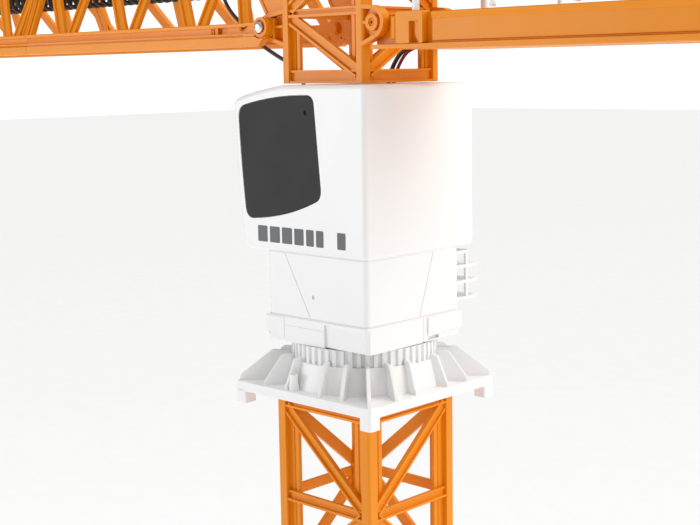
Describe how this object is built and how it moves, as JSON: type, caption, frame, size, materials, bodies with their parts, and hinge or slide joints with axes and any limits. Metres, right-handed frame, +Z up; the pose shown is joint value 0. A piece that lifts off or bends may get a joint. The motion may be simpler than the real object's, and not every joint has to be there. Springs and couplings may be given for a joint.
{
  "type": "toy tower crane",
  "caption": "Toy tower crane: slewing cab and jib on a lattice mast with a ballasted cross base, a trolley running in the jib and a hook on a hoist rope.",
  "frame": {"origin": "centre of the base frame's underside, on the mast's axis", "axes": "+Z up the mast, +X along the jib towards its tip, +Y towards the cab's side window"},
  "size_m": [0.865, 0.317, 1.2842],
  "materials": {
    "orange_plastic": "moulded, satin",
    "white_plastic": "moulded, satin",
    "window_grey": "matt dark grey",
    "ballast_grey": "grained concrete grey",
    "natural_plastic": "uncoloured nylon",
    "black_plastic": "moulded, satin",
    "black_cable": "smooth cable sheath",
    "red_cable": "smooth cable sheath",
    "rope": "twisted cord",
    "motor_steel": "drawn can",
    "screw_steel": "plated",
    "board_green": "solder mask",
    "battery_blue": "shrink sleeve"
  },
  "bodies": {
    "tower": {"base_frame": "orange_plastic", "ballast_block_1": "ballast_grey", "ballast_block_2": "ballast_grey", "ballast_block_3": "ballast_grey", "ballast_block_4": "ballast_grey", "base_brace_1": "orange_plastic", "base_brace_2": "orange_plastic", "base_brace_3": "orange_plastic", "base_brace_4": "orange_plastic", "mast_section_1": "orange_plastic", "mast_section_2": "orange_plastic", "mast_section_3": "orange_plastic", "mast_section_4": "orange_plastic", "slew_tray": "white_plastic", "slew_ring_gear": "natural_plastic"},
    "upper": {"slew_frame": "white_plastic", "slew_retainer": "natural_plastic", "slew_motor": "motor_steel", "lower_housing": "white_plastic", "cab_shell": "white_plastic", "cab_side_window": "window_grey", "cab_front_window": "window_grey", "receiver_board": "board_green", "side_ladder": "white_plastic", "turret_frame": "orange_plastic", "tower_head": "orange_plastic", "jib_root": "orange_plastic", "jib_middle": "orange_plastic", "jib_tip": "orange_plastic", "counter_jib": "orange_plastic", "railing_left": "white_plastic", "railing_right": "white_plastic", "battery_box": "ballast_grey", "battery_cover": "ballast_grey", "battery_pack": "battery_blue", "jib_screw_left": "screw_steel", "jib_screw_right": "screw_steel", "counter_pin_left": "orange_plastic", "counter_pin_right": "orange_plastic", "jib_tie_inner": "orange_plastic", "jib_tie_outer": "orange_plastic", "counter_tie_left": "orange_plastic", "counter_tie_right": "orange_plastic", "jib_lead": "black_cable", "wire_black": "black_cable", "wire_red": "red_cable", "curly_cord": "black_cable"},
    "slew_pinion": {"slew_pinion": "natural_plastic"},
    "power_switch": {"power_switch": "black_plastic"},
    "trolley": {"trolley_frame": "white_plastic", "hoist_motor": "motor_steel", "hoist_rope": "rope"},
    "trolley_wheel_1": {"trolley_wheel_1": "black_plastic"},
    "trolley_wheel_2": {"trolley_wheel_2": "black_plastic"},
    "trolley_wheel_3": {"trolley_wheel_3": "black_plastic"},
    "trolley_wheel_4": {"trolley_wheel_4": "black_plastic"},
    "hoist_drum": {"hoist_drum": "black_plastic"},
    "hook_block": {"hook_block": "orange_plastic"},
    "hook_sheave": {"hook_sheave": "black_plastic"},
    "hook": {"hook": "black_plastic"}
  },
  "joints": [
    {"name": "slew", "type": "hinge", "parent": "tower", "child": "upper", "pos_m": [0, 0, 0.9722], "axis": [0, 0, 1], "range_deg": [-340, 340]},
    {"name": "slew_pinion_spin", "type": "hinge", "parent": "upper", "child": "slew_pinion", "pos_m": [0, 0.018, 0.98], "axis": [0, 0, 1], "continuous": true},
    {"name": "switch_slide", "type": "slide", "parent": "upper", "child": "power_switch", "axis": [0, 1, 0], "range_m": [0, 0.0065]},
    {"name": "trolley_travel", "type": "slide", "parent": "upper", "child": "trolley", "axis": [1, 0, 0], "range_m": [-0.33, 0], "deforming": ["curly_cord"]},
    {"name": "wheel_1_spin", "type": "hinge", "parent": "trolley", "child": "trolley_wheel_1", "pos_m": [0.525, 0.02275, 1.1362], "axis": [0, 1, 0], "continuous": true},
    {"name": "wheel_2_spin", "type": "hinge", "parent": "trolley", "child": "trolley_wheel_2", "pos_m": [0.525, -0.02275, 1.1362], "axis": [0, 1, 0], "continuous": true},
    {"name": "wheel_3_spin", "type": "hinge", "parent": "trolley", "child": "trolley_wheel_3", "pos_m": [0.565, 0.02275, 1.1362], "axis": [0, 1, 0], "continuous": true},
    {"name": "wheel_4_spin", "type": "hinge", "parent": "trolley", "child": "trolley_wheel_4", "pos_m": [0.565, -0.02275, 1.1362], "axis": [0, 1, 0], "continuous": true},
    {"name": "drum_spin", "type": "hinge", "parent": "trolley", "child": "hoist_drum", "pos_m": [0.545, 0, 1.1357], "axis": [0, 1, 0], "continuous": true},
    {"name": "hook_hoist", "type": "slide", "parent": "trolley", "child": "hook_block", "axis": [0, 0, 1], "range_m": [0, 0.98], "deforming": ["hoist_rope"]},
    {"name": "sheave_spin", "type": "hinge", "parent": "hook_block", "child": "hook_sheave", "pos_m": [0.545, 0, 0.088], "axis": [0, 1, 0], "continuous": true},
    {"name": "hook_swivel", "type": "hinge", "parent": "hook_block", "child": "hook", "pos_m": [0.545, 0, 0.06], "axis": [0, 0, 1], "continuous": true}
  ],
  "couplings": [
    {"joint": "slew_pinion_spin", "follows": "slew", "ratio": -4},
    {"joint": "wheel_1_spin", "follows": "trolley_travel", "rad_per_m": 222.22},
    {"joint": "wheel_2_spin", "follows": "trolley_travel", "rad_per_m": 222.22},
    {"joint": "wheel_3_spin", "follows": "trolley_travel", "rad_per_m": 222.22},
    {"joint": "wheel_4_spin", "follows": "trolley_travel", "rad_per_m": 222.22},
    {"joint": "drum_spin", "follows": "hook_hoist", "rad_per_m": 400},
    {"joint": "sheave_spin", "follows": "hook_hoist", "rad_per_m": 120.48}
  ]
}
